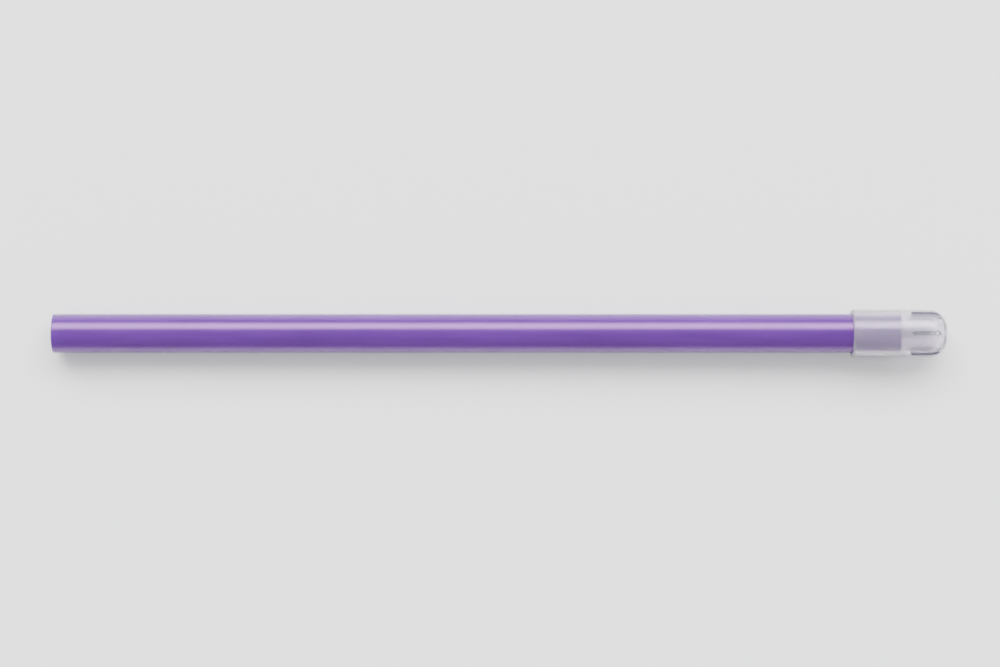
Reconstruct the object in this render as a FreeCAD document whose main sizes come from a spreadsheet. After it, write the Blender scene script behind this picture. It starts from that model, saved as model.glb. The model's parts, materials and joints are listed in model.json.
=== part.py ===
import FreeCAD, Part
import math
import os
import Sketcher

# A disposable saliva ejector: a soft tube with a shape-holding wire in its wall, and a
# slotted cap pushed over its front end.
# +X runs along the tube from the end that plugs into the suction valve to the tip, and the
# origin is the centre of that rear end. Sizes are in millimetres and degrees.
# The tube bends in the XZ plane, about axes parallel to Y. Tube and wire are parted at each
# bend axis, so that the bend zone can curl. The wire lies on the +Y side, level with the
# bend axes, where bending doesn't stretch it.

SIZES = [
    ("total_length", 150.0, "rear end of the tube to the nose of the cap"),
    ("tube_diameter", 6.5, "outside of the tube"),
    ("lumen_diameter", 4.6, "inside of the tube"),
    ("wire_diameter", 0.8, "shape-holding wire"),
    ("wire_offset", 2.62, "tube axis to wire axis"),
    ("bead_diameter", 1.2, "rib of tube wall that wraps the wire"),
    ("bend_start", 77.0, "rear end of the tube to the first bend axis"),
    ("axis_spacing", 2.5, "one bend axis to the next"),
    ("axis_count", 18.0, "bend axes"),
    ("bend_angle", 10.0, "turn at one bend axis when the tube is fully curled"),
    ("turn_room", 0.03, "room left between neighbours at full curl"),
    ("cap_length", 16.0, "rim to nose"),
    ("cap_diameter", 8.0, "outside of the cap"),
    ("socket_length", 8.1, "rim to the shoulder that stops the tube"),
    ("stop_gap", 0.1, "tube end to that shoulder"),
    ("socket_clearance", 0.03, "radial room between cap and tube"),
    ("lead_in", 0.3, "chamfers at the mouth of the socket"),
    ("chamber_diameter", 6.1, "hollow in front of the tube"),
    ("chamber_corner", 2.0, "rounding inside the nose"),
    ("nose_wall", 1.1, "thickness of the nose"),
    ("nose_corner", 3.0, "rounding outside the nose"),
    ("nose_hole_diameter", 1.4, "hole in the middle of the nose"),
    ("slot_count", 6.0, "suction slots round the cap"),
    ("slot_length", 4.7, "overall, along the cap"),
    ("slot_width", 0.8, "across"),
    ("slot_setback", 1.5, "nose to the front end of a slot"),
]

document = FreeCAD.newDocument("saliva_ejector")
sheet = document.addObject("Spreadsheet::Sheet", "Sizes")
for row, (alias, value, meaning) in enumerate(SIZES, start=1):
    sheet.set(f"A{row}", alias)
    sheet.set(f"B{row}", str(value))
    sheet.set(f"C{row}", meaning)
    sheet.setAlias(f"B{row}", alias)
document.recompute()

TUBE_END = "(Sizes.total_length - Sizes.cap_length + Sizes.socket_length - Sizes.stop_gap)"

bodies = []


def new_body(name):
    body = document.addObject("PartDesign::Body", name)
    body.Label = name
    bodies.append(body)
    return body


def origin_feature(body, role):
    return next(feature for feature in body.Origin.OriginFeatures if feature.Role == role)


def new_sketch(body, name, plane):
    sketch = body.newObject("Sketcher::SketchObject", name)
    sketch.AttachmentSupport = (origin_feature(body, plane), [""])
    sketch.MapMode = "FlatFace"
    return sketch


def constrain(sketch, *constraint, size=None, name=None):
    """Adds a constraint, bound to the expression `size` if there is one."""
    if size is None:
        sketch.addConstraint(Sketcher.Constraint(*constraint))
        return
    value = float(sketch.evalExpression(size))
    index = sketch.addConstraint(Sketcher.Constraint(*constraint, value))
    sketch.renameConstraint(index, name)
    sketch.setExpression(f"Constraints.{name}", size)


def place_point(sketch, geometry, point, x, y, name):
    """Holds a point of the geometry at the expressions x and y."""
    constrain(sketch, "DistanceX", -1, 1, geometry, point, size=x, name=f"{name}_x")
    constrain(sketch, "DistanceY", -1, 1, geometry, point, size=y, name=f"{name}_y")


def add_circle(sketch, x, diameter, name):
    """A circle on the sketch's first axis."""
    centre = FreeCAD.Vector(float(sketch.evalExpression(x)), 0, 0)
    radius = float(sketch.evalExpression(diameter)) / 2
    circle = sketch.addGeometry(Part.Circle(centre, FreeCAD.Vector(0, 0, 1), radius), False)
    place_point(sketch, circle, 3, x, "0", name)
    constrain(sketch, "Diameter", circle, size=diameter, name=f"{name}_diameter")


def add_outline(sketch, points, name):
    """A closed outline of straight lines through points given as pairs of expressions."""
    corners = [
        FreeCAD.Vector(float(sketch.evalExpression(x)), float(sketch.evalExpression(y)), 0)
        for x, y in points
    ]
    count = len(points)
    lines = [
        sketch.addGeometry(Part.LineSegment(corners[i], corners[(i + 1) % count]), False)
        for i in range(count)
    ]
    for i, (x, y) in enumerate(points):
        constrain(sketch, "Coincident", lines[i - 1], 2, lines[i], 1)
        place_point(sketch, lines[i], 1, x, y, f"{name}_{i}")


def add_lumen(sketch):
    """The inside of the tube: a circle that dips in round the bead over the wire."""
    bore = float(sheet.lumen_diameter) / 2
    bead = float(sheet.bead_diameter) / 2
    offset = float(sheet.wire_offset)
    meet_x = (bore**2 - bead**2 + offset**2) / (2 * offset)
    meet_y = math.sqrt(bore**2 - meet_x**2)
    up = FreeCAD.Vector(0, 0, 1)
    turn = math.atan2(meet_y, meet_x)
    bore_circle = Part.Circle(FreeCAD.Vector(0, 0, 0), up, bore)
    bore_arc = sketch.addGeometry(Part.ArcOfCircle(bore_circle, turn, 2 * math.pi - turn), False)
    turn = math.atan2(meet_y, meet_x - offset)
    bead_circle = Part.Circle(FreeCAD.Vector(offset, 0, 0), up, bead)
    bead_arc = sketch.addGeometry(Part.ArcOfCircle(bead_circle, turn, 2 * math.pi - turn), False)
    constrain(sketch, "Coincident", bore_arc, 1, bead_arc, 1)
    constrain(sketch, "Coincident", bore_arc, 2, bead_arc, 2)
    constrain(sketch, "Coincident", bore_arc, 3, -1, 1)
    place_point(sketch, bead_arc, 3, "Sizes.wire_offset", "0", "bead")
    constrain(sketch, "Diameter", bore_arc, size="Sizes.lumen_diameter", name="lumen_diameter")
    constrain(sketch, "Diameter", bead_arc, size="Sizes.bead_diameter", name="bead_diameter")


def extrude_piece(body, sketch, diameter, start, end, rear, front):
    """Extrudes a section from `start` to `end`, which are bend axes where rear or front is set.

    There the piece stops short of the axis by half the room that a neighbour of that diameter
    needs to turn.
    """
    half_gap = f"({diameter} * tan(Sizes.bend_angle * 0.5 * 1 deg) + Sizes.turn_room) / 2"
    rear_gap = half_gap if rear else "0"
    front_gap = half_gap if front else "0"
    body.setExpression("Placement.Base.x", f"{start} + {rear_gap}")
    pad = body.newObject("PartDesign::Pad", f"{body.Name}_extrusion")
    pad.Profile = sketch
    pad.setExpression("Length", f"{end} - {start} - {rear_gap} - {front_gap}")


def make_tube_piece(name, start, end, rear, front):
    body = new_body(name)
    sketch = new_sketch(body, f"{name}_section", "YZ_Plane")
    add_circle(sketch, "0", "Sizes.tube_diameter", "outside")
    add_lumen(sketch)
    add_circle(sketch, "Sizes.wire_offset", "Sizes.wire_diameter", "wire_channel")
    extrude_piece(body, sketch, "Sizes.tube_diameter", start, end, rear, front)


def make_wire_piece(name, start, end, rear, front):
    body = new_body(name)
    sketch = new_sketch(body, f"{name}_section", "YZ_Plane")
    add_circle(sketch, "Sizes.wire_offset", "Sizes.wire_diameter", "wire")
    extrude_piece(body, sketch, "Sizes.wire_diameter", start, end, rear, front)


def bend_axis(number):
    return f"(Sizes.bend_start + {number} * Sizes.axis_spacing)"


def make_along_tube(kind, make_piece):
    """The rear length, the spans of the bend zone and the front length of the tube or wire."""
    last = int(sheet.axis_count) - 1
    make_piece(f"{kind}_rear", "0", bend_axis(0), False, True)
    for i in range(last):
        make_piece(f"{kind}_span_{i + 1:02d}", bend_axis(i), bend_axis(i + 1), True, True)
    make_piece(f"{kind}_front", bend_axis(last), TUBE_END, True, False)


def add_cap_profile(sketch):
    """Half of the cap's lengthwise section: x from the rim to the nose, y outwards."""
    length = "Sizes.cap_length"
    outside = "Sizes.cap_diameter / 2"
    socket = "(Sizes.tube_diameter / 2 + Sizes.socket_clearance)"
    chamber = "Sizes.chamber_diameter / 2"
    hole = "Sizes.nose_hole_diameter / 2"
    inner_face = "(Sizes.cap_length - Sizes.nose_wall)"
    # Each corner is x, y and how the outline goes on from it: a straight line, or a quarter
    # arc about the given centre.
    corners = [
        ("0", f"{socket} + Sizes.lead_in", None),
        ("0", f"{outside} - Sizes.lead_in / 2", None),
        ("Sizes.lead_in", outside, None),
        (f"{length} - Sizes.nose_corner", outside, "outer"),
        (length, f"{outside} - Sizes.nose_corner", None),
        (length, hole, None),
        (inner_face, hole, None),
        (inner_face, f"{chamber} - Sizes.chamber_corner", "inner"),
        (f"{inner_face} - Sizes.chamber_corner", chamber, None),
        ("Sizes.socket_length", chamber, None),
        ("Sizes.socket_length", socket, None),
        ("Sizes.lead_in", socket, None),
    ]
    centres = {
        "outer": (f"{length} - Sizes.nose_corner", f"{outside} - Sizes.nose_corner"),
        "inner": (f"{inner_face} - Sizes.chamber_corner", f"{chamber} - Sizes.chamber_corner"),
    }

    def at(x, y):
        return FreeCAD.Vector(float(sketch.evalExpression(x)), float(sketch.evalExpression(y)), 0)

    # A sketch stores an arc anticlockwise, so both arcs run from their right-hand end to
    # their top, whichever way the outline passes them.
    edges = []
    for i, (x, y, arc) in enumerate(corners):
        next_x, next_y, _ = corners[(i + 1) % len(corners)]
        if arc is None:
            line = Part.LineSegment(at(x, y), at(next_x, next_y))
            edges.append((sketch.addGeometry(line, False), 1, 2))
            continue
        centre = at(*centres[arc])
        radius = (at(x, y) - centre).Length
        circle = Part.Circle(centre, FreeCAD.Vector(0, 0, 1), radius)
        index = sketch.addGeometry(Part.ArcOfCircle(circle, 0, math.pi / 2), False)
        edges.append((index, 2, 1) if arc == "outer" else (index, 1, 2))
        place_point(sketch, index, 3, *centres[arc], arc)
    for i, (x, y, arc) in enumerate(corners):
        index, first, _ = edges[i]
        previous, _, last = edges[i - 1]
        constrain(sketch, "Coincident", previous, last, index, first)
        if corners[i - 1][2] is not None:
            # The far end of an arc needs one size only: the other follows from its radius.
            kind, size = ("DistanceY", y) if corners[i - 1][2] == "outer" else ("DistanceX", x)
            constrain(sketch, kind, -1, 1, index, first, size=size, name=f"corner_{i}")
        else:
            place_point(sketch, index, first, x, y, f"corner_{i}")


def add_slot_outline(sketch):
    """A slot with round ends, along the sketch's first axis."""
    half_width = "Sizes.slot_width / 2"
    front = "(Sizes.cap_length - Sizes.slot_setback - Sizes.slot_width / 2)"
    rear = "(Sizes.cap_length - Sizes.slot_setback - Sizes.slot_length + Sizes.slot_width / 2)"
    up = FreeCAD.Vector(0, 0, 1)
    radius = float(sketch.evalExpression(half_width))
    front_centre = FreeCAD.Vector(float(sketch.evalExpression(front)), 0, 0)
    rear_centre = FreeCAD.Vector(float(sketch.evalExpression(rear)), 0, 0)
    side = FreeCAD.Vector(0, radius, 0)
    front_arc = sketch.addGeometry(
        Part.ArcOfCircle(Part.Circle(front_centre, up, radius), -math.pi / 2, math.pi / 2), False
    )
    upper = sketch.addGeometry(Part.LineSegment(front_centre + side, rear_centre + side), False)
    rear_arc = sketch.addGeometry(
        Part.ArcOfCircle(Part.Circle(rear_centre, up, radius), math.pi / 2, 3 * math.pi / 2), False
    )
    lower = sketch.addGeometry(Part.LineSegment(rear_centre - side, front_centre - side), False)
    for before, after in ((front_arc, upper), (upper, rear_arc), (rear_arc, lower), (lower, front_arc)):
        constrain(sketch, "Tangent", before, 2, after, 1)
    place_point(sketch, front_arc, 3, front, "0", "front")
    constrain(sketch, "DistanceX", -1, 1, rear_arc, 3, size=rear, name="rear")
    constrain(sketch, "Radius", front_arc, size=half_width, name="half_width")


def check_removed(before, after):
    """A pocket that points away from the solid cuts nothing and shows no error."""
    document.recompute()
    if after.Shape.Volume >= before.Shape.Volume:
        raise RuntimeError(f"{after.Label} removes nothing")


def make_cap():
    body = new_body("tip_cap")
    body.setExpression("Placement.Base.x", "Sizes.total_length - Sizes.cap_length")
    profile = new_sketch(body, "cap_profile", "XZ_Plane")
    add_cap_profile(profile)
    shell = body.newObject("PartDesign::Revolution", "cap_shell")
    shell.Profile = profile
    shell.ReferenceAxis = (profile, ["H_Axis"])
    shell.Angle = 360
    outline = new_sketch(body, "slot_outline", "XY_Plane")
    add_slot_outline(outline)
    slot = body.newObject("PartDesign::Pocket", "cap_slot")
    slot.Profile = outline
    slot.Type = "ThroughAll"
    check_removed(shell, slot)
    slots = body.newObject("PartDesign::PolarPattern", "cap_slots")
    slots.Originals = [slot]
    slots.Axis = (origin_feature(body, "X_Axis"), [""])
    slots.Angle = 360
    slots.setExpression("Occurrences", "Sizes.slot_count")
    body.Tip = slots
    check_removed(slot, slots)


make_along_tube("tube", make_tube_piece)
make_along_tube("wire", make_wire_piece)
make_cap()
document.recompute()

for item in document.Objects:
    if "Invalid" in item.State or "Error" in item.State:
        raise RuntimeError(f"{item.Label} failed: {item.State}")
for body in bodies:
    if body.Shape.isNull() or not body.Shape.isValid() or len(body.Shape.Solids) != 1:
        raise RuntimeError(f"{body.Label} is not one valid solid")

os.makedirs("parts", exist_ok=True)
for body in bodies:
    body.Shape.exportStep(f"parts/{body.Label}.step")
    print(f"{body.Label}: {body.Shape.Volume:.2f} mm3, x from {body.Shape.BoundBox.XMin:.2f}")
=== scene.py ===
import json
import math

import bmesh
import bpy
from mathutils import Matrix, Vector

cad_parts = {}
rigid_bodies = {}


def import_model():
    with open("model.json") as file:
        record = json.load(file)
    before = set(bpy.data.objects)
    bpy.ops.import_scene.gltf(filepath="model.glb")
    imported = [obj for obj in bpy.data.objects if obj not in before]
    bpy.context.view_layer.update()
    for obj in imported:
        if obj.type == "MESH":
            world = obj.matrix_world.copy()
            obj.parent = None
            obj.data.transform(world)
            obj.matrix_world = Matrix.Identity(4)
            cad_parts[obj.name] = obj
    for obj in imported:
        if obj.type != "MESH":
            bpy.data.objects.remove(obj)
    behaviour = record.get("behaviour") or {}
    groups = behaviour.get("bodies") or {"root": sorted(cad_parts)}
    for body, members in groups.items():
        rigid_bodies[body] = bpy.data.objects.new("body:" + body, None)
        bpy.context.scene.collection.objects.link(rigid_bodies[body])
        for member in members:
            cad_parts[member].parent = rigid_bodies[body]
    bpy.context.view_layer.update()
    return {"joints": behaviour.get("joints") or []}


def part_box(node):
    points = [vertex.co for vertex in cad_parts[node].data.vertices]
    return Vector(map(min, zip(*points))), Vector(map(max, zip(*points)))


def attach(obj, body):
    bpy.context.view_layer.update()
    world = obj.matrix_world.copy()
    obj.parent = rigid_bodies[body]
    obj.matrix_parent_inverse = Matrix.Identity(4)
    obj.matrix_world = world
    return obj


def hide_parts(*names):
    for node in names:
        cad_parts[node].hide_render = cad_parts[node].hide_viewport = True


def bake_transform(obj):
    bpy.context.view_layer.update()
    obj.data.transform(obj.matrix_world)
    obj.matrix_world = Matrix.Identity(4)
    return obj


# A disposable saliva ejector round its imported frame: a translucent tube with a wire in its
# wall, and a frosted cap. Lengths are in metres. The tube runs along X, and angles round it
# start at +Y, the side that holds the wire, and turn towards +Z, the way it bends.

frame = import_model()

MM = 0.001

# Driving sizes, from the frame where it has them
tube_low, tube_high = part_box("tube_rear")
wire_low, wire_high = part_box("wire_rear")
cap_low, cap_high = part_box("tip_cap")
REAR_END = tube_low.x
FRONT_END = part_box("tube_front")[1].x
TUBE_RADIUS = (tube_high.y - tube_low.y) / 2
WIRE_RADIUS = (wire_high.y - wire_low.y) / 2
WIRE_OFFSET = (wire_high.y + wire_low.y) / 2
RIM = cap_low.x
NOSE = cap_high.x
CAP_RADIUS = cap_high.z

# Sizes inside the boxes, as in the CAD
LUMEN_RADIUS = 2.3 * MM
BEAD_RADIUS = 0.6 * MM
SOCKET_RADIUS = 3.28 * MM
CHAMBER_RADIUS = 3.05 * MM
SOCKET_LENGTH = 8.1 * MM
NOSE_WALL = 1.1 * MM
NOSE_CORNER = 3.0 * MM
CHAMBER_CORNER = 2.0 * MM
NOSE_HOLE_RADIUS = 0.7 * MM
SLOT_COUNT = 6
SLOT_LENGTH = 4.7 * MM
SLOT_WIDTH = 0.8 * MM
SLOT_SETBACK = 1.5 * MM

bends = [joint for joint in frame["joints"] if joint["name"].startswith("bend_")]
AXES = [joint["pos_m"][0] for joint in bends]
SPAN = AXES[1] - AXES[0]


# --- node trees --------------------------------------------------------------------------


class Nodes:
    """Short calls for building the node tree of a material or of the world."""

    def __init__(self, owner):
        owner.use_nodes = True
        self.tree = owner.node_tree

    def add(self, kind, **settings):
        node = self.tree.nodes.new(kind)
        for name, value in settings.items():
            setattr(node, name, value)
        return node

    def link(self, source, target):
        self.tree.links.new(source, target)

    def stretched_noise(self, place, scale, detail=3):
        """Noise whose grains are 1/scale metres long along each axis."""
        mapping = self.add("ShaderNodeMapping")
        mapping.inputs["Scale"].default_value = scale
        self.link(place, mapping.inputs["Vector"])
        noise = self.add("ShaderNodeTexNoise")
        noise.inputs["Scale"].default_value = 1.0
        noise.inputs["Detail"].default_value = detail
        noise.inputs["Roughness"].default_value = 0.55
        self.link(mapping.outputs["Vector"], noise.inputs["Vector"])
        return noise.outputs["Fac"]

    def ramp(self, factor, *stops):
        """A colour ramp with (position, colour) stops."""
        node = self.add("ShaderNodeValToRGB")
        elements = node.color_ramp.elements
        while len(elements) < len(stops):
            elements.new(0.5)
        for element, (position, colour) in zip(elements, stops):
            element.position = position
            element.color = (*colour, 1)
        self.link(factor, node.inputs["Fac"])
        return node.outputs["Color"]

    def spread(self, factor, low, high):
        """A factor of 0 to 1 spread over low to high."""
        node = self.add("ShaderNodeMapRange")
        node.inputs["To Min"].default_value = low
        node.inputs["To Max"].default_value = high
        self.link(factor, node.inputs["Value"])
        return node.outputs["Result"]

    def rise(self, value, start, end):
        """0 where the value is at start, 1 where it is at end, and smooth between them."""
        node = self.add("ShaderNodeMapRange", interpolation_type="SMOOTHSTEP")
        node.inputs["From Min"].default_value = start
        node.inputs["From Max"].default_value = end
        self.link(value, node.inputs["Value"])
        return node.outputs["Result"]

    def distance(self, direction, normal):
        """How far a direction is from the plane through 0 that has this normal."""
        across = self.add("ShaderNodeVectorMath", operation="DOT_PRODUCT")
        across.inputs[1].default_value = normal
        self.link(direction, across.inputs[0])
        size = self.add("ShaderNodeMath", operation="ABSOLUTE")
        self.link(across.outputs["Value"], size.inputs[0])
        return size.outputs["Value"]

    def product(self, first, second):
        node = self.add("ShaderNodeMath", operation="MULTIPLY")
        self.link(first, node.inputs[0])
        self.link(second, node.inputs[1])
        return node.outputs["Value"]

    def bump(self, height, distance, normal=None):
        """Relief of this height in metres, over an earlier relief's normal if there is one."""
        node = self.add("ShaderNodeBump")
        node.inputs["Distance"].default_value = distance
        self.link(height, node.inputs["Height"])
        if normal is not None:
            self.link(normal, node.inputs["Normal"])
        return node.outputs["Normal"]

    def rest_place(self):
        """The point's place before any bend, so that the pattern bends with the piece."""
        return self.add("ShaderNodeAttribute", attribute_name="rest_place").outputs["Vector"]


# --- camera, light and floor -------------------------------------------------------------


def make_camera():
    """Straight down on the ejector, which lies across the picture."""
    data = bpy.data.cameras.new("camera")
    data.lens = 100
    data.clip_start = 0.01
    camera = bpy.data.objects.new("camera", data)
    bpy.context.scene.collection.objects.link(camera)
    margin = 1.12
    seen_width = (NOSE - REAR_END) * margin
    distance = seen_width * data.lens / data.sensor_width
    camera.location = ((REAR_END + NOSE) / 2, 0, distance)
    bpy.context.scene.camera = camera


def make_softbox(name, place, target, size, watts):
    data = bpy.data.lights.new(name, "AREA")
    data.shape = "RECTANGLE"
    data.size, data.size_y = size
    data.energy = watts
    lamp = bpy.data.objects.new(name, data)
    bpy.context.scene.collection.objects.link(lamp)
    lamp.location = place
    lamp.rotation_euler = (target - lamp.location).to_track_quat("-Z", "Y").to_euler()


def make_lights():
    """A weak lamp, and a studio whose sky has a long soft band of light, tilted towards +Y."""
    middle = Vector(((REAR_END + NOSE) / 2, 0, 0))
    make_softbox("strip_light", middle + Vector((0, 0.42, 0.40)), middle, size=(0.9, 0.13), watts=1.5)
    world = bpy.data.worlds.new("studio")
    nodes = Nodes(world)
    background = nodes.tree.nodes["Background"]
    background.inputs["Color"].default_value = (0.93, 0.94, 0.96, 1)
    direction = nodes.add("ShaderNodeTexCoord").outputs["Generated"]
    band_tilt = math.radians(46)
    band_half_width = math.radians(12)
    fade_half_width = math.radians(24)
    band_reach, fade_reach = 0.5, 0.8
    across = nodes.distance(direction, (0, math.cos(band_tilt), -math.sin(band_tilt)))
    along = nodes.distance(direction, (1, 0, 0))
    band = nodes.product(
        nodes.rise(across, math.sin(fade_half_width), math.sin(band_half_width)),
        nodes.rise(along, fade_reach, band_reach),
    )
    sky_strength, band_strength = 1.08, 10.5
    nodes.link(nodes.spread(band, sky_strength, band_strength), background.inputs["Strength"])
    bpy.context.scene.world = world


def make_floor():
    """A pale table that touches the rear end of the tube and the rim of the cap."""
    half = 1.5
    slope = (CAP_RADIUS - TUBE_RADIUS) / (RIM - REAR_END)
    mesh = bpy.data.meshes.new("floor")
    corners = [
        (x, y, -TUBE_RADIUS - (x - REAR_END) * slope)
        for x, y in ((-half, -half), (half, -half), (half, half), (-half, half))
    ]
    mesh.from_pydata(corners, [], [(0, 1, 2, 3)])
    floor = bpy.data.objects.new("floor", mesh)
    bpy.context.scene.collection.objects.link(floor)
    material = bpy.data.materials.new("pale_table")
    material.use_nodes = True
    shader = material.node_tree.nodes["Principled BSDF"]
    shader.inputs["Base Color"].default_value = (0.93, 0.93, 0.92, 1)
    shader.inputs["Roughness"].default_value = 0.6
    mesh.materials.append(material)


make_camera()
make_lights()
make_floor()


# --- materials ---------------------------------------------------------------------------


def new_material(name):
    material = bpy.data.materials.new(name)
    nodes = Nodes(material)
    return material, nodes, nodes.tree.nodes["Principled BSDF"]


def make_tube_plastic():
    """Glossy where the die left it, with long faint lines along the tube."""
    material, nodes, shader = new_material("translucent_purple_plastic")
    place = nodes.rest_place()
    haze = nodes.stretched_noise(place, (60, 700, 700))
    colour = nodes.ramp(haze, (0.3, (0.095, 0.011, 0.26)), (0.7, (0.135, 0.019, 0.34)))
    nodes.link(colour, shader.inputs["Base Color"])
    die_lines = nodes.stretched_noise(place, (3, 2600, 2600), detail=2)
    nodes.link(nodes.spread(die_lines, 0.2, 0.3), shader.inputs["Roughness"])
    orange_peel = nodes.stretched_noise(place, (350, 900, 900), detail=2)
    normal = nodes.bump(die_lines, 0.006 * MM)
    nodes.link(nodes.bump(orange_peel, 0.012 * MM, normal=normal), shader.inputs["Normal"])
    set_tube_depth(shader)
    return material


def make_cut_plastic():
    """The same plastic where a knife cut it: dull, with fine marks across."""
    material, nodes, shader = new_material("cut_purple_plastic")
    place = nodes.rest_place()
    haze = nodes.stretched_noise(place, (900, 900, 900), detail=4)
    colour = nodes.ramp(haze, (0.3, (0.105, 0.014, 0.27)), (0.7, (0.15, 0.025, 0.36)))
    nodes.link(colour, shader.inputs["Base Color"])
    knife_marks = nodes.stretched_noise(place, (400, 500, 9000))
    nodes.link(nodes.spread(knife_marks, 0.38, 0.62), shader.inputs["Roughness"])
    nodes.link(nodes.bump(knife_marks, 0.02 * MM), shader.inputs["Normal"])
    set_tube_depth(shader)
    return material


def set_tube_depth(shader):
    """How light passes through the tube's plastic and reflects from it."""
    shader.inputs["IOR"].default_value = 1.6
    shader.inputs["Transmission Weight"].default_value = 0.45
    shader.inputs["Specular IOR Level"].default_value = 1.0
    shader.inputs["Specular Tint"].default_value = (0.94, 0.47, 1.0, 1)
    shader.inputs["Subsurface Weight"].default_value = 0.4
    shader.inputs["Subsurface Radius"].default_value = (1.0, 0.7, 1.4)
    shader.inputs["Subsurface Scale"].default_value = 1.2 * MM


def make_cap_plastic():
    """Frosted and clear, with a hint of lilac that is partly painted reflection of the purple tube
    inside it.
    """
    material, nodes, shader = new_material("frosted_clear_plastic")
    place = nodes.add("ShaderNodeTexCoord").outputs["Object"]
    cloud = nodes.stretched_noise(place, (330, 560, 560), detail=4)
    # The lilac is partly the cap's own tint and partly painted reflection, standing in for the purple
    # tube's light inside the cap.
    colour = nodes.ramp(cloud, (0.35, (0.90, 0.83, 0.99)), (0.65, (0.97, 0.92, 0.99)))
    nodes.link(colour, shader.inputs["Base Color"])
    frost = nodes.stretched_noise(place, (7000, 7000, 7000))
    nodes.link(nodes.spread(cloud, 0.06, 0.26), shader.inputs["Roughness"])
    draw_lines = nodes.stretched_noise(place, (120, 3000, 3000))
    normal = nodes.bump(draw_lines, 0.008 * MM)
    nodes.link(nodes.bump(frost, 0.006 * MM, normal=normal), shader.inputs["Normal"])
    shader.inputs["IOR"].default_value = 1.5
    shader.inputs["Transmission Weight"].default_value = 0.92
    shader.inputs["Subsurface Weight"].default_value = 0.5
    shader.inputs["Subsurface Radius"].default_value = (1.0, 1.0, 1.0)
    shader.inputs["Subsurface Scale"].default_value = 1.5 * MM
    return material


def make_slot_painted_shade_plastic():
    """The slots' walls: the same plastic, duller and letting less light through, coloured dark grey as
    painted shade in the slots.
    """
    material, nodes, shader = new_material("frosted_slot_plastic")
    place = nodes.add("ShaderNodeTexCoord").outputs["Object"]
    cloud = nodes.stretched_noise(place, (500, 900, 900), detail=4)
    # Dark grey: painted shade in the slots, whose real walls are as clear as the rest of the cap.
    colour = nodes.ramp(cloud, (0.3, (0.24, 0.22, 0.30)), (0.7, (0.34, 0.32, 0.40)))
    nodes.link(colour, shader.inputs["Base Color"])
    draw_lines = nodes.stretched_noise(place, (3000, 3000, 400))
    nodes.link(nodes.spread(draw_lines, 0.3, 0.5), shader.inputs["Roughness"])
    nodes.link(nodes.bump(draw_lines, 0.01 * MM), shader.inputs["Normal"])
    shader.inputs["IOR"].default_value = 1.5
    shader.inputs["Transmission Weight"].default_value = 0.5
    return material


def make_wire_metal():
    """Brass coat, with lines along the wire from the drawing die."""
    material, nodes, shader = new_material("brass_coated_wire")
    place = nodes.rest_place()
    drawn = nodes.stretched_noise(place, (90, 14000, 14000))
    patches = nodes.stretched_noise(place, (500, 2500, 2500), detail=4)
    colour = nodes.ramp(
        patches,
        (0.25, (0.30, 0.16, 0.06)),
        (0.5, (0.50, 0.29, 0.10)),
        (0.8, (0.60, 0.38, 0.15)),
    )
    nodes.link(colour, shader.inputs["Base Color"])
    nodes.link(nodes.spread(drawn, 0.22, 0.42), shader.inputs["Roughness"])
    nodes.link(nodes.bump(drawn, 0.006 * MM), shader.inputs["Normal"])
    shader.inputs["Metallic"].default_value = 1.0
    return material


def make_cut_metal():
    """The grey steel under the coat, where the wire was sheared off."""
    material, nodes, shader = new_material("cut_steel")
    place = nodes.rest_place()
    shear_marks = nodes.stretched_noise(place, (2000, 4000, 26000))
    patches = nodes.stretched_noise(place, (6000, 6000, 6000), detail=4)
    colour = nodes.ramp(patches, (0.3, (0.13, 0.125, 0.13)), (0.7, (0.24, 0.235, 0.24)))
    nodes.link(colour, shader.inputs["Base Color"])
    nodes.link(nodes.spread(shear_marks, 0.3, 0.55), shader.inputs["Roughness"])
    nodes.link(nodes.bump(shear_marks, 0.01 * MM), shader.inputs["Normal"])
    shader.inputs["Metallic"].default_value = 1.0
    return material


# --- lofted tube and wire ----------------------------------------------------------------

# Points round each section, and how far apart the rings of points are along it
TUBE_STEPS = 96
WIRE_STEPS = 24
BEND_RING_STEP = 0.25 * MM
STRAIGHT_RING_STEP = 1.5 * MM

# The cut ends: the tube's edges are rounded. The wire's are chamfered, and leave a flat face
# that takes this share of its radius. A face whose normal lies this much along X is a cut one.
CUT_EDGE = 0.07 * MM
CUT_EDGE_STEPS = 4
WIRE_EDGE = 0.06 * MM
WIRE_FACE_SHARE = 0.88
WIRE_PROUD = 0.03 * MM
CUT_FACING = 0.8


def outside_radius(angle):
    """The wall stands out by a hair over the wire."""
    ridge_height = 0.025 * MM
    ridge_angle = 0.2
    from_wire = math.remainder(angle, math.tau)
    return TUBE_RADIUS + ridge_height * math.exp(-((from_wire / ridge_angle) ** 2))


def lumen_radius(angle):
    """A round bore with a rib over the wire, as a smooth minimum of the two."""
    reach = BEAD_RADIUS**2 - (WIRE_OFFSET * math.sin(angle)) ** 2
    if math.cos(angle) <= 0 or reach <= 0:
        return LUMEN_RADIUS
    rib = WIRE_OFFSET * math.cos(angle) - math.sqrt(reach)
    softness = 0.05 * MM
    return (LUMEN_RADIUS + rib - math.hypot(LUMEN_RADIUS - rib, softness) + softness) / 2


def wall_point(x, share, angle):
    """A point of the tube's wall: share 0 is on the lumen, and 1 on the outside."""
    inside = lumen_radius(angle)
    radius = inside + share * (outside_radius(angle) - inside)
    return (x, radius * math.cos(angle), radius * math.sin(angle))


def wire_point(x, share, angle):
    """A point of the wire: share 0 is on its axis, and 1 on its outside."""
    radius = WIRE_RADIUS * share
    return (x, WIRE_OFFSET + radius * math.cos(angle), radius * math.sin(angle))


def even_steps(start, end, step):
    count = max(1, round(abs(end - start) / step))
    return [start + (end - start) * i / count for i in range(count + 1)]


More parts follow.
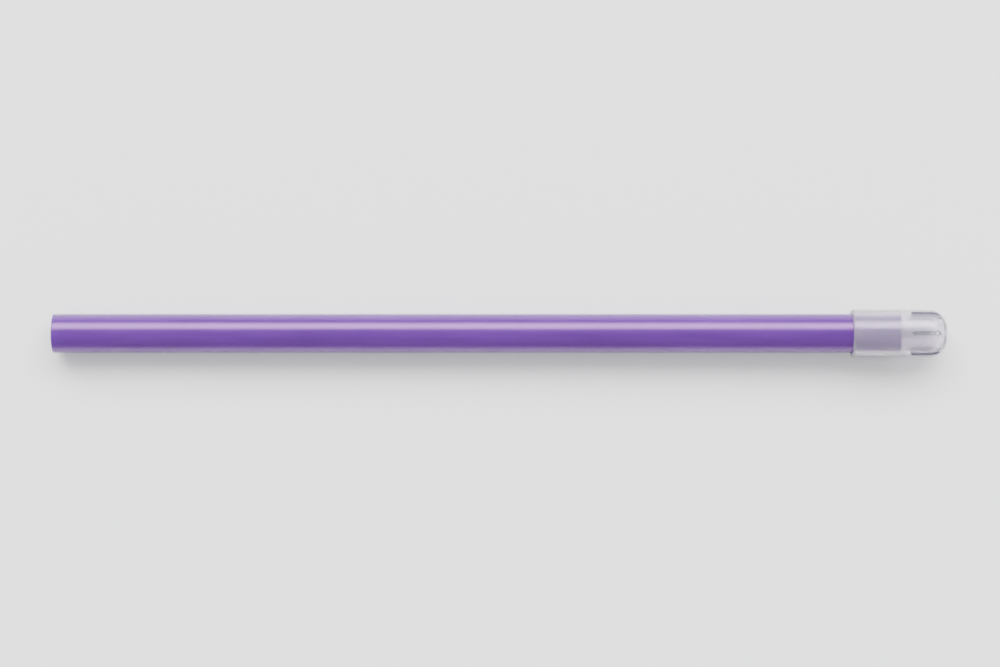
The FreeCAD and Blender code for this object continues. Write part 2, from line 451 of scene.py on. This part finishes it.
def loft(name, point, runs, steps):
    """A mesh through rings. Each run is a list of (x, share) stations, joined in order."""
    vertices, faces = [], []
    for run in runs:
        first = len(vertices)
        for x, share in run:
            vertices += [point(x, share, math.tau * j / steps) for j in range(steps)]
        for i in range(len(run) - 1):
            for j in range(steps):
                a = first + i * steps + j
                b = first + i * steps + (j + 1) % steps
                faces.append((a, b, b + steps, a + steps))
    mesh = bpy.data.meshes.new(name)
    mesh.from_pydata(vertices, [], faces)
    mesh.shade_smooth()
    places = mesh.attributes.new("rest_place", "FLOAT_VECTOR", "POINT")
    places.data.foreach_set("vector", [value for vertex in vertices for value in vertex])
    piece = bpy.data.objects.new(name, mesh)
    bpy.context.scene.collection.objects.link(piece)
    return piece


def cut_end(x, inward):
    """Stations over a cut face of the tube, from the lumen to the outside, edges just broken."""
    depth = inward * CUT_EDGE
    share = CUT_EDGE / (TUBE_RADIUS - LUMEN_RADIUS)
    turns = [math.pi / 2 * i / CUT_EDGE_STEPS for i in range(CUT_EDGE_STEPS + 1)]
    lumen_edge = [(x + depth * (1 - math.sin(turn)), share * (1 - math.cos(turn))) for turn in turns]
    outer_edge = [(x + depth * (1 - math.cos(turn)), 1 - share * (1 - math.sin(turn))) for turn in turns]
    return lumen_edge + [(x, 0.5)] + outer_edge


def ring_step(low, high):
    """Rings are close in a piece that bends, and further apart in a long straight one."""
    return BEND_RING_STEP if high - low <= SPAN * 1.01 else STRAIGHT_RING_STEP


def tube_piece(name, low, high, cut_low=False, cut_high=False):
    start = low + CUT_EDGE if cut_low else low
    end = high - CUT_EDGE if cut_high else high
    step = ring_step(low, high)
    outer = [(x, 1) for x in even_steps(start, end, step)]
    lumen = [(x, 0) for x in even_steps(end, start, step)]
    if cut_low:
        runs = [lumen[:-1] + cut_end(low, 1) + outer[1:]]
    elif cut_high:
        runs = [outer[:-1] + cut_end(high, -1)[::-1] + lumen[1:]]
    else:
        runs = [lumen, outer]
    return loft(name, wall_point, runs, TUBE_STEPS)


def wire_piece(name, low, high, cut_low=False, cut_high=False):
    """Its cut ends stand a hair proud of the tube's, with their edges broken."""
    start = low - WIRE_PROUD if cut_low else low
    end = high + WIRE_PROUD if cut_high else high
    side_start = start + WIRE_EDGE if cut_low else start
    side_end = end - WIRE_EDGE if cut_high else end
    stations = [(x, 1) for x in even_steps(side_start, side_end, ring_step(low, high))]
    shares = (0, 0.5, WIRE_FACE_SHARE)
    if cut_low:
        stations = [(start, share) for share in shares] + stations
    if cut_high:
        stations += [(end, share) for share in reversed(shares)]
    return loft(name, wire_point, [stations], WIRE_STEPS)


def make_along_tube(kind, make_piece, materials):
    """A straight rear length, one bending piece for each bend axis, and a front length."""
    chain = [bends[0]["parent"]] + [joint["child"] for joint in bends]
    span_names = [f"{kind}_span_{i:02d}" for i in range(1, len(bends))]
    node_names = [f"{kind}_rear", *span_names, f"{kind}_front"]
    half = SPAN / 2
    rear = make_piece(f"{kind}_rear_length", REAR_END, AXES[0] - half, cut_low=True)
    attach(rear, chain[0])
    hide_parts(node_names[0])
    front = make_piece(f"{kind}_front_length", AXES[-1] + half, FRONT_END, cut_high=True)
    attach(front, chain[-1])
    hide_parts(node_names[-1])
    made = [rear, front]
    for i, joint in enumerate(bends):
        low, high = AXES[i] - half, AXES[i] + half
        piece = make_piece(f"{kind}_bend_{i + 1:02d}", low, high)
        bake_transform(piece)
        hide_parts(node_names[i + 1])
        made.append(piece)
    for piece in made:
        for material in materials:
            piece.data.materials.append(material)
        for face in piece.data.polygons:
            face.material_index = int(abs(face.normal.x) > CUT_FACING)


# --- cap ---------------------------------------------------------------------------------

# Each slot is cut in a patch of the wall: a sixth of the way round, and a bit longer than the
# slot. The rest of the cap, in front and behind, is turned about its axis.

SECTOR_STEPS = 16
PATCH_STEPS = 20
SPREAD_RINGS = 10
EDGE_RINGS = 5
NOSE_RINGS = 14
SLOT_FRONT = NOSE - SLOT_SETBACK
SLOT_REAR = SLOT_FRONT - SLOT_LENGTH
PATCH_REAR = SLOT_REAR - 0.5 * MM
PATCH_FRONT = SLOT_FRONT + 0.25 * MM
INNER_FACE = NOSE - NOSE_WALL
ARC_STEP = math.radians(12)

# Roundings and chamfers of the cap's edges
SLOT_EDGE = 0.12 * MM
HOLE_EDGE = 0.15 * MM
SHOULDER_EDGE = 0.08 * MM
LEAD_IN = 0.3 * MM
MOUTH_EDGE = 0.1 * MM
RIM_EDGE = 0.25 * MM

WELD_DISTANCE = 0.001 * MM


def cap_outside(x):
    past = max(0.0, x - (NOSE - NOSE_CORNER))
    return CAP_RADIUS - NOSE_CORNER + math.sqrt(NOSE_CORNER**2 - past**2)


def cap_inside(x):
    past = max(0.0, x - (INNER_FACE - CHAMBER_CORNER))
    return CHAMBER_RADIUS - CHAMBER_CORNER + math.sqrt(CHAMBER_CORNER**2 - past**2)


def rounded(corners):
    """Points along a line through (x, r, radius) corners, with an arc at each that has a radius."""
    points = []
    for i, (x, r, radius) in enumerate(corners):
        here = Vector((x, r))
        if not radius or i in (0, len(corners) - 1):
            points.append(here)
            continue
        before = (Vector(corners[i - 1][:2]) - here).normalized()
        after = (Vector(corners[i + 1][:2]) - here).normalized()
        half = before.angle(after) / 2
        centre = here + (before + after).normalized() * (radius / math.sin(half))
        start = here + before * (radius / math.tan(half)) - centre
        end = here + after * (radius / math.tan(half)) - centre
        sweep = math.atan2(start.x * end.y - start.y * end.x, start.dot(end))
        steps = max(3, math.ceil((math.pi - 2 * half) / ARC_STEP))
        for k in range(steps + 1):
            cosine, sine = math.cos(sweep * k / steps), math.sin(sweep * k / steps)
            turned = (start.x * cosine - start.y * sine, start.x * sine + start.y * cosine)
            points.append(centre + Vector(turned))
    return points


def cap_point(x, radius, angle):
    """Angles round the cap start at +Z, where a slot is."""
    return Vector((x, radius * math.sin(angle), radius * math.cos(angle)))


def turn_profile(mesh, points):
    """Turns a line of (x, r) points into a surface of revolution."""
    steps = SLOT_COUNT * SECTOR_STEPS
    angles = [math.tau * (j + SECTOR_STEPS / 2) / steps for j in range(steps)]
    rings = [[mesh.verts.new(cap_point(x, r, angle)) for angle in angles] for x, r in points]
    for ring, following in zip(rings, rings[1:]):
        for j in range(steps):
            k = (j + 1) % steps
            mesh.faces.new((ring[j], following[j], following[k], ring[k]))


def slot_outline(offset):
    """Points round a slot, `offset` outside its edge, as (x, how far beside its middle line)."""
    radius = SLOT_WIDTH / 2 + offset
    front, rear = SLOT_FRONT - SLOT_WIDTH / 2, SLOT_REAR + SLOT_WIDTH / 2
    points = []
    for i in range(SECTOR_STEPS):
        turn = math.pi * (i / SECTOR_STEPS - 0.5)
        points.append((front + radius * math.cos(turn), radius * math.sin(turn)))
    for i in range(PATCH_STEPS):
        points.append((front + (rear - front) * i / PATCH_STEPS, radius))
    for i in range(SECTOR_STEPS):
        turn = math.pi * (i / SECTOR_STEPS + 0.5)
        points.append((rear + radius * math.cos(turn), radius * math.sin(turn)))
    for i in range(PATCH_STEPS):
        points.append((rear + (front - rear) * i / PATCH_STEPS, -radius))
    return points


def patch_outline():
    """A slot patch's border, point for point with slot_outline, as (x, angle)."""
    half = math.pi / SLOT_COUNT
    length = PATCH_FRONT - PATCH_REAR
    points = [(PATCH_FRONT, half * (2 * i / SECTOR_STEPS - 1)) for i in range(SECTOR_STEPS)]
    points += [(PATCH_FRONT - length * i / PATCH_STEPS, half) for i in range(PATCH_STEPS)]
    points += [(PATCH_REAR, half * (1 - 2 * i / SECTOR_STEPS)) for i in range(SECTOR_STEPS)]
    points += [(PATCH_REAR + length * i / PATCH_STEPS, -half) for i in range(PATCH_STEPS)]
    return points


def slot_rings(middle):
    """Rings from a patch's border inside the cap, through its slot, to its border outside."""
    border = patch_outline()
    shares = [i / (SPREAD_RINGS - 1) for i in range(SPREAD_RINGS)]

    def spread_ring(surface, share):
        """A ring on the surface, from the slot's edge (share 0) out to the border (share 1)."""
        edge = slot_outline(SLOT_EDGE)
        ring = []
        for (x0, side), (x1, angle1) in zip(edge, border):
            angle0 = side / CAP_RADIUS
            x = x0 + (x1 - x0) * share
            ring.append(cap_point(x, surface(x), middle + angle0 + (angle1 - angle0) * share))
        return ring

    def edge_ring(surface, sign, turn):
        """A ring of the rounded edge, from the surface (turn 0) down to the slot's wall."""
        ring = []
        for x, side in slot_outline(SLOT_EDGE * (1 - math.sin(turn))):
            depth = SLOT_EDGE * (1 - math.cos(turn))
            ring.append(cap_point(x, surface(x) + sign * depth, middle + side / CAP_RADIUS))
        return ring

    turns = [math.pi / 2 * i / EDGE_RINGS for i in range(1, EDGE_RINGS + 1)]
    rings = [spread_ring(cap_inside, share) for share in reversed(shares)]
    rings += [edge_ring(cap_inside, 1, turn) for turn in turns]
    rings += [edge_ring(cap_outside, -1, turn) for turn in reversed(turns)]
    rings += [spread_ring(cap_outside, share) for share in shares]
    return rings


def turned_front():
    """The line from a slot patch's front, over the nose, through its hole and back inside."""
    nose_turns = [math.pi / 2 * i / NOSE_RINGS for i in range(NOSE_RINGS)]
    outer_nose = [PATCH_FRONT + (NOSE - PATCH_FRONT) * math.sin(turn) for turn in nose_turns]
    hole = rounded([
        (NOSE, CAP_RADIUS - NOSE_CORNER, 0),
        (NOSE, NOSE_HOLE_RADIUS, HOLE_EDGE),
        (INNER_FACE, NOSE_HOLE_RADIUS, HOLE_EDGE),
        (INNER_FACE, CHAMBER_RADIUS - CHAMBER_CORNER, 0),
    ])
    inner_turns = [math.pi / 2 * i / EDGE_RINGS for i in range(1, EDGE_RINGS + 1)]
    inner_nose = [INNER_FACE - (INNER_FACE - PATCH_FRONT) * (1 - math.cos(turn)) for turn in inner_turns]
    outer_points = [Vector((x, cap_outside(x))) for x in outer_nose]
    inner_points = [Vector((x, cap_inside(x))) for x in inner_nose]
    return outer_points + hole + inner_points


def turned_rear():
    """The line from a slot patch's rear, inside, over the shoulder, socket and rim, to outside."""
    shoulder = RIM + SOCKET_LENGTH
    return rounded([
        (PATCH_REAR, CHAMBER_RADIUS, 0),
        (shoulder, CHAMBER_RADIUS, SHOULDER_EDGE),
        (shoulder, SOCKET_RADIUS, SHOULDER_EDGE),
        (RIM + LEAD_IN, SOCKET_RADIUS, LEAD_IN),
        (RIM, SOCKET_RADIUS + LEAD_IN, MOUTH_EDGE),
        (RIM, CAP_RADIUS, RIM_EDGE),
        (PATCH_REAR, CAP_RADIUS, 0),
    ])


def add_slot_patch(mesh, middle):
    """One slot and the wall round it. Material 1, which carries painted shade, is for the slot's own
    walls.
    """
    rings = [[mesh.verts.new(point) for point in ring] for ring in slot_rings(middle)]
    # The faces of the slot's walls, which take the painted shade material
    painted_shade_bands = range(SPREAD_RINGS, len(rings) - 1 - SPREAD_RINGS)
    for band, (ring, following) in enumerate(zip(rings, rings[1:])):
        for j in range(len(ring)):
            k = (j + 1) % len(ring)
            face = mesh.faces.new((ring[j], ring[k], following[k], following[j]))
            face.material_index = int(band in painted_shade_bands)


def make_cap(*materials):
    mesh = bmesh.new()
    turn_profile(mesh, turned_front())
    turn_profile(mesh, turned_rear())
    for i in range(SLOT_COUNT):
        add_slot_patch(mesh, math.tau * i / SLOT_COUNT)
    bmesh.ops.remove_doubles(mesh, verts=mesh.verts, dist=WELD_DISTANCE)
    bmesh.ops.recalc_face_normals(mesh, faces=mesh.faces)
    data = bpy.data.meshes.new("slotted_cap")
    mesh.to_mesh(data)
    mesh.free()
    data.shade_smooth()
    cap = bpy.data.objects.new("slotted_cap", data)
    bpy.context.scene.collection.objects.link(cap)
    for material in materials:
        data.materials.append(material)
    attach(cap, "cap")
    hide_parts("tip_cap")


make_along_tube("tube", tube_piece, (make_tube_plastic(), make_cut_plastic()))
make_along_tube("wire", wire_piece, (make_wire_metal(), make_cut_metal()))
make_cap(make_cap_plastic(), make_slot_painted_shade_plastic())
